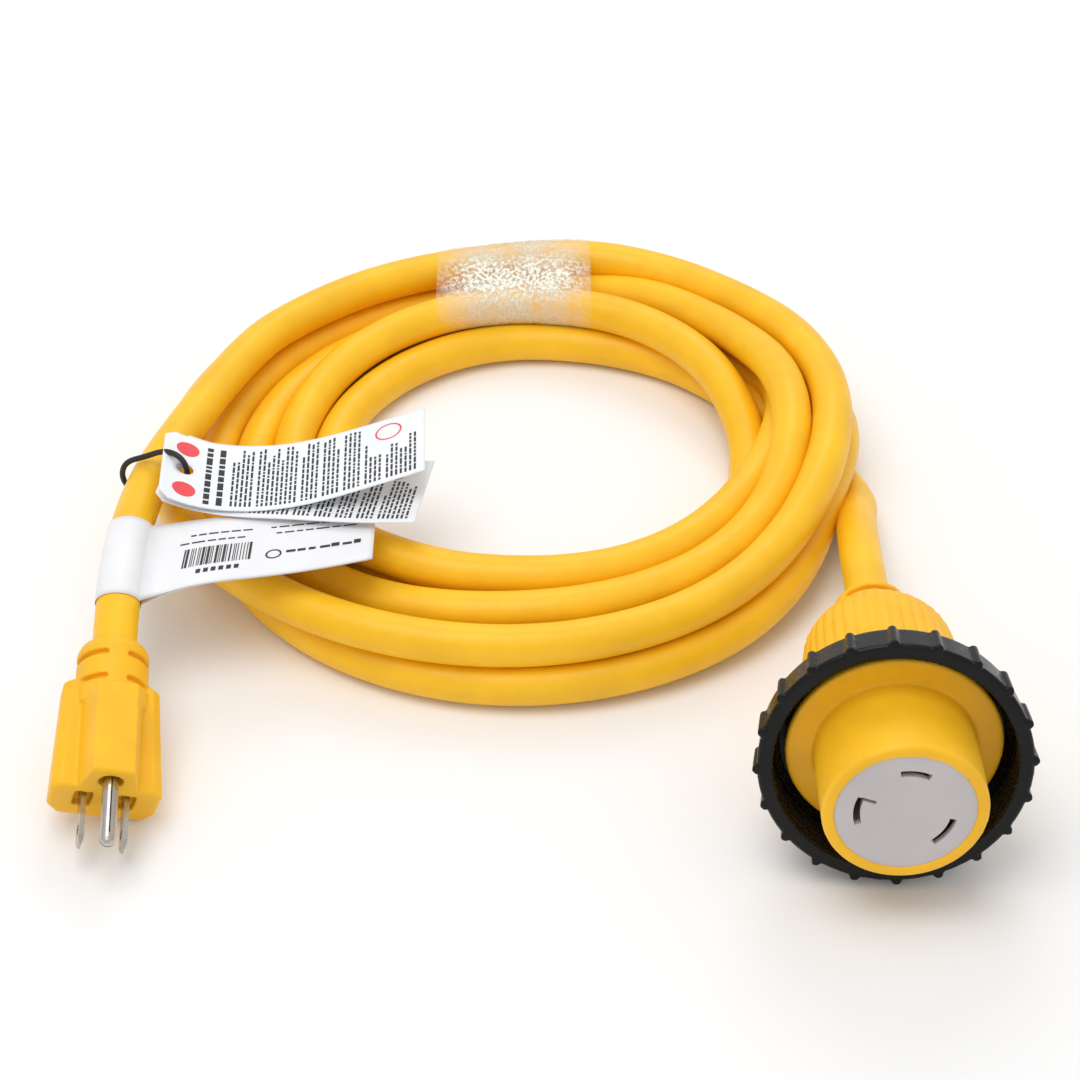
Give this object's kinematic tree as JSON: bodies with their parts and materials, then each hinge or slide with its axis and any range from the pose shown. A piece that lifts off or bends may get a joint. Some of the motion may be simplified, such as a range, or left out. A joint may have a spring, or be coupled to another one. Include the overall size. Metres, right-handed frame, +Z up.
{
  "type": "shore power cord",
  "caption": "Coiled yellow adapter cord from a straight-blade plug to a locking connector with a threaded sealing ring, tied with clear tape.",
  "frame": {"origin": "on the ground, under the middle of the connector's bounding box", "axes": "+Z up; the connector's nose points towards -Y and its cord end towards +Y; the coil and the plug lie on the -X side"},
  "size_m": [0.2871, 0.3247, 0.0806],
  "materials": {
    "yellow_vinyl": "satin moulded",
    "cord_jacket": "satin",
    "black_nylon": "semi-gloss moulded",
    "grey_insert": "satin",
    "cream_plastic": "satin",
    "nickel": "bright nickel plate",
    "brass": "bright",
    "black_wire": "satin",
    "white_wire": "satin",
    "green_wire": "satin",
    "clear_film": "clear gloss",
    "white_paper": "matte",
    "white_label": "satin film",
    "black_string": "matte"
  },
  "bodies": {
    "cord_set": {"connector_body": "yellow_vinyl", "contact_carrier": "grey_insert", "carrier_cover": "cream_plastic", "connector_line_contact": "brass", "connector_neutral_contact": "brass", "connector_ground_contact": "brass", "connector_line_wire": "black_wire", "connector_neutral_wire": "white_wire", "connector_ground_wire": "green_wire", "plug_body": "yellow_vinyl", "plug_blade_carrier": "cream_plastic", "plug_line_blade": "nickel", "plug_neutral_blade": "nickel", "plug_ground_pin": "nickel", "plug_line_wire": "black_wire", "plug_neutral_wire": "white_wire", "plug_ground_wire": "green_wire", "cord_plug_lead": "cord_jacket", "cord_coil": "cord_jacket", "cord_connector_lead": "cord_jacket", "coil_tape": "clear_film", "flag_label": "white_label", "tag_loop": "black_string"},
    "ring": {"locking_ring": "black_nylon"},
    "upper_tag": {"hang_tag_upper": "white_paper"},
    "lower_tag": {"hang_tag_lower": "white_paper"}
  },
  "joints": [
    {"name": "ring_spin", "type": "hinge", "parent": "cord_set", "child": "ring", "pos_m": [0, -0.028, 0.04106], "axis": [-0.051, -0.973, 0.225], "continuous": true},
    {"name": "tag_lift", "type": "hinge", "parent": "cord_set", "child": "upper_tag", "pos_m": [-0.2163, 0.115, 0.0376], "axis": [0, -1, 0], "range_deg": [0, 40]},
    {"name": "tag_fan", "type": "hinge", "parent": "upper_tag", "child": "lower_tag", "pos_m": [-0.2163, 0.115, 0.0367], "axis": [0, 0, 1], "range_deg": [-4, 14]}
  ]
}
